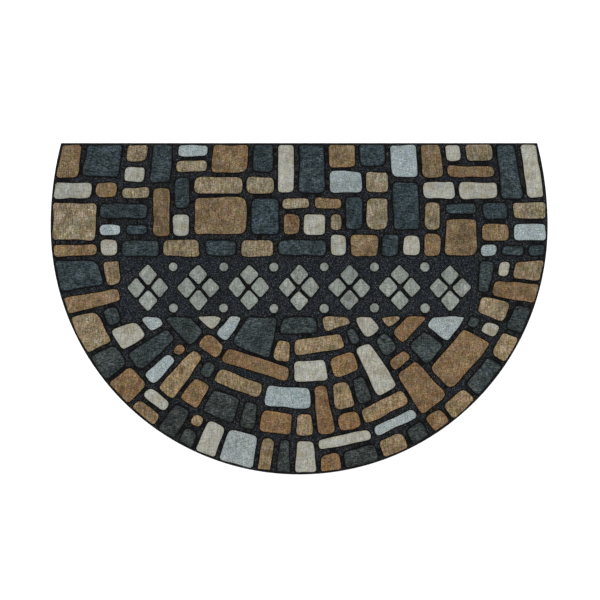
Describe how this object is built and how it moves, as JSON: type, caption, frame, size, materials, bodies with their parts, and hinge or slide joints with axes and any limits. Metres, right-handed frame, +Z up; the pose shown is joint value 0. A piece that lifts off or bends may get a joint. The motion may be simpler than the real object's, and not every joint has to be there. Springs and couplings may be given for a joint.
{
  "type": "doormat",
  "caption": "Half-round doormat with a printed felt face of raised paving blocks on a moulded rubber base.",
  "frame": {"origin": "on the ground, under the middle of the mat's width and depth", "axes": "+X along the straight edge, +Y towards the straight edge at the back, +Z up out of the felt"},
  "size_m": [0.9144, 0.6096, 0.0095],
  "materials": {
    "crumb_rubber": "matt black, moulded from bonded rubber crumb",
    "printed_felt": "matt needle-punched felt, printed in browns, slate, cream and pale blue over charcoal"
  },
  "bodies": {
    "root": {"rubber_base": "crumb_rubber", "felt_face": "printed_felt"}
  },
  "joints": []
}
